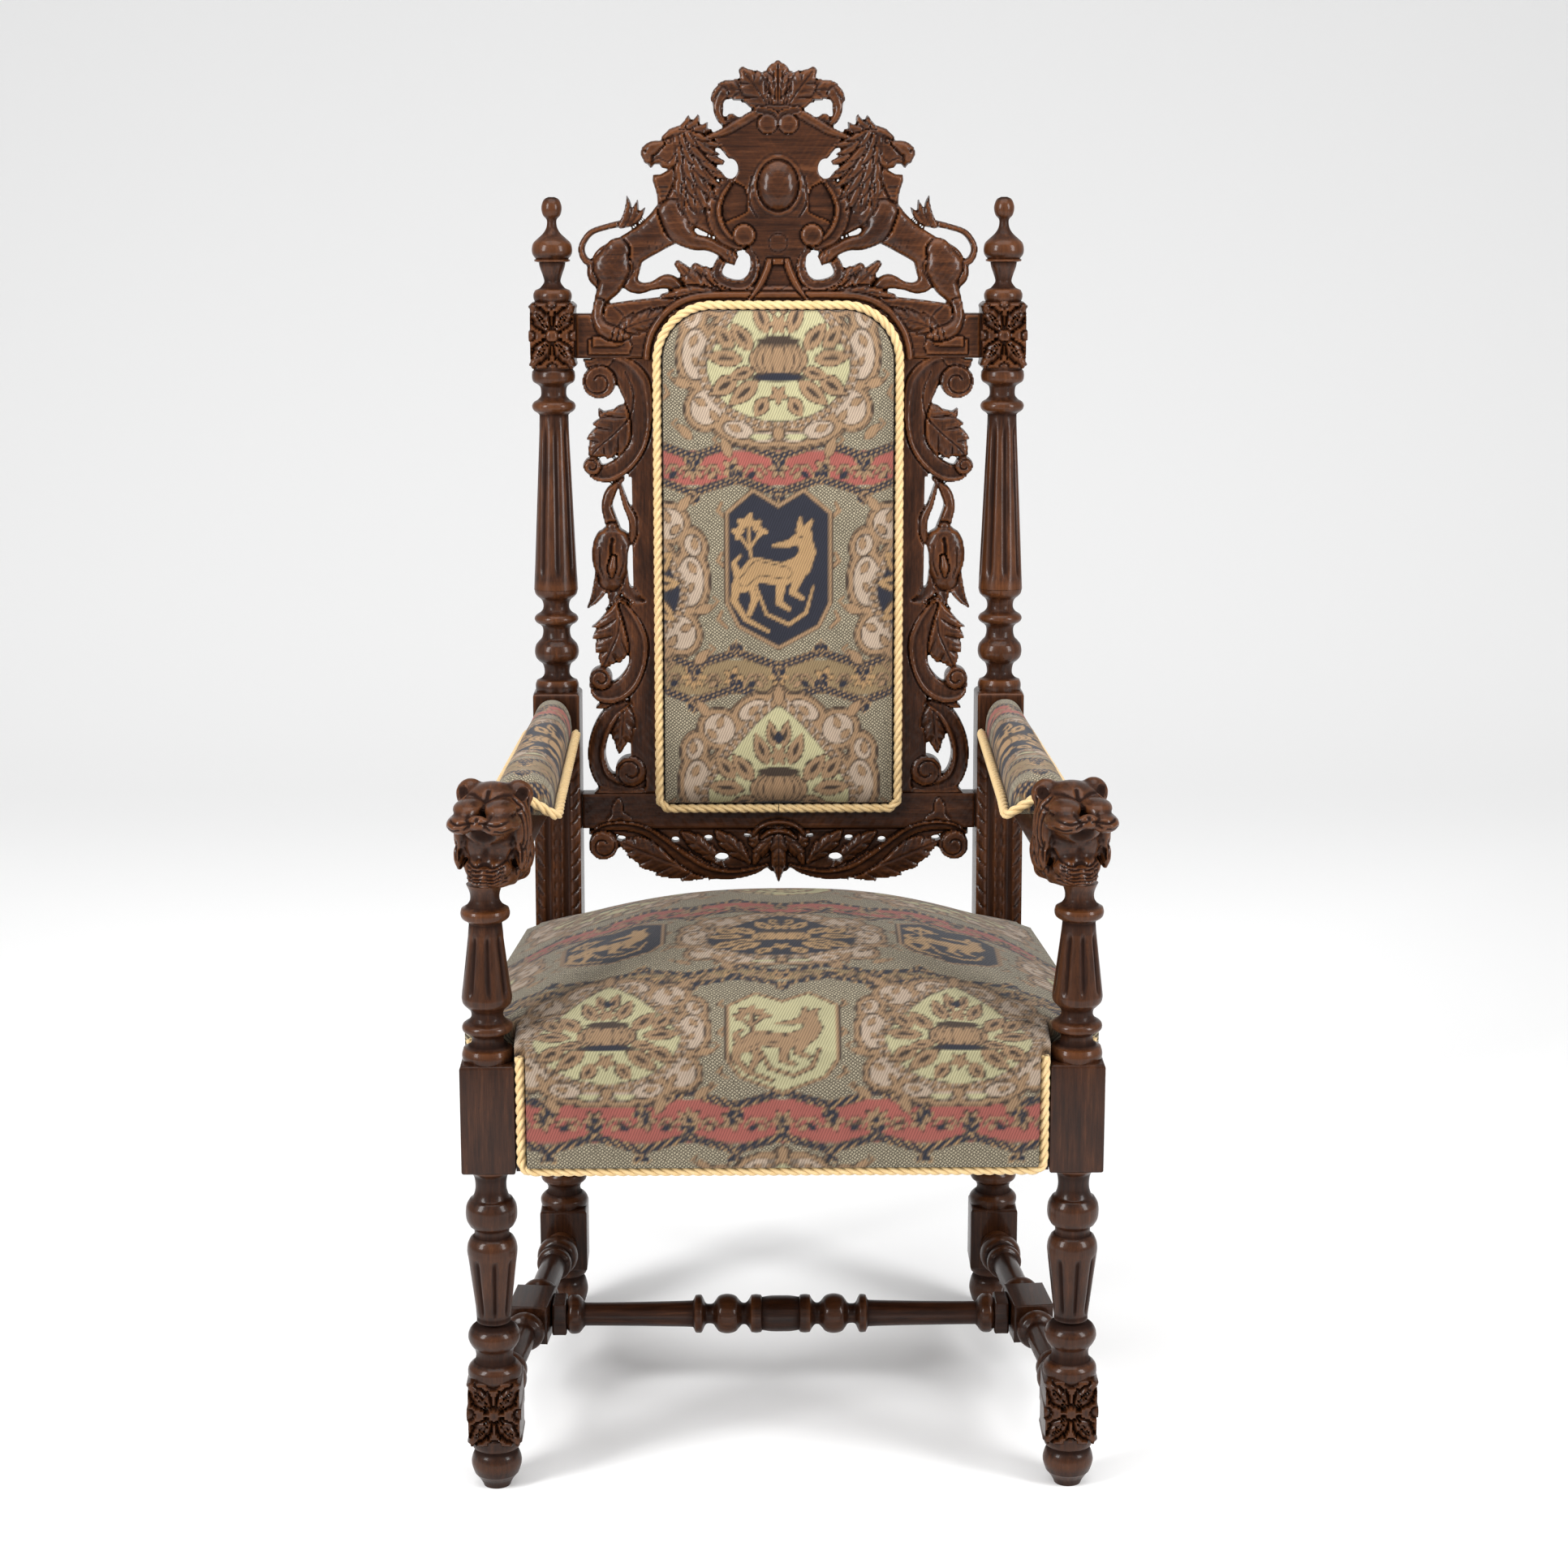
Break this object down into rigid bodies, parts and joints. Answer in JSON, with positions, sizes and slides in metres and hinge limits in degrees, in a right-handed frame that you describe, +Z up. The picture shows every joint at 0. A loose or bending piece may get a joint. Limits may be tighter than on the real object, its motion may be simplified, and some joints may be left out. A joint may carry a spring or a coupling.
{
  "type": "carved oak throne armchair",
  "caption": "Tall throne armchair with turned posts and stretchers, a carved openwork back with a padded tapestry panel, padded arms and seat, and rope trim.",
  "frame": {"origin": "on the floor, under the middle of the chair's bounding box", "axes": "+Z up; the chair faces -Y; +X is towards the viewer's right when it is seen from the front"},
  "size_m": [0.6796, 0.6436, 1.4983],
  "materials": {
    "oak": "waxed satin",
    "tapestry": "ribbed woven wool",
    "lining": "plain close weave",
    "cord_trim": "twisted silky cord"
  },
  "bodies": {
    "root": {"crest_rail": "oak", "side_scroll_left": "oak", "side_scroll_right": "oak", "lower_rail": "oak", "front_post_left": "oak", "front_post_right": "oak", "back_post_left": "oak", "back_post_right": "oak", "cross_stretcher": "oak", "seat_rail_front": "oak", "seat_rail_back": "oak", "seat_rail_left": "oak", "seat_rail_right": "oak", "seat_base": "oak", "side_stretcher_left": "oak", "side_stretcher_right": "oak", "arm_left": "oak", "arm_right": "oak", "back_pad": "tapestry", "seat_cushion": "tapestry", "arm_pad_left": "tapestry", "arm_pad_right": "tapestry", "back_cover": "lining", "back_rope": "cord_trim", "seat_rope_front": "cord_trim", "seat_rope_left": "cord_trim", "seat_rope_right": "cord_trim", "arm_rope_left": "cord_trim", "arm_rope_right": "cord_trim"}
  },
  "joints": []
}
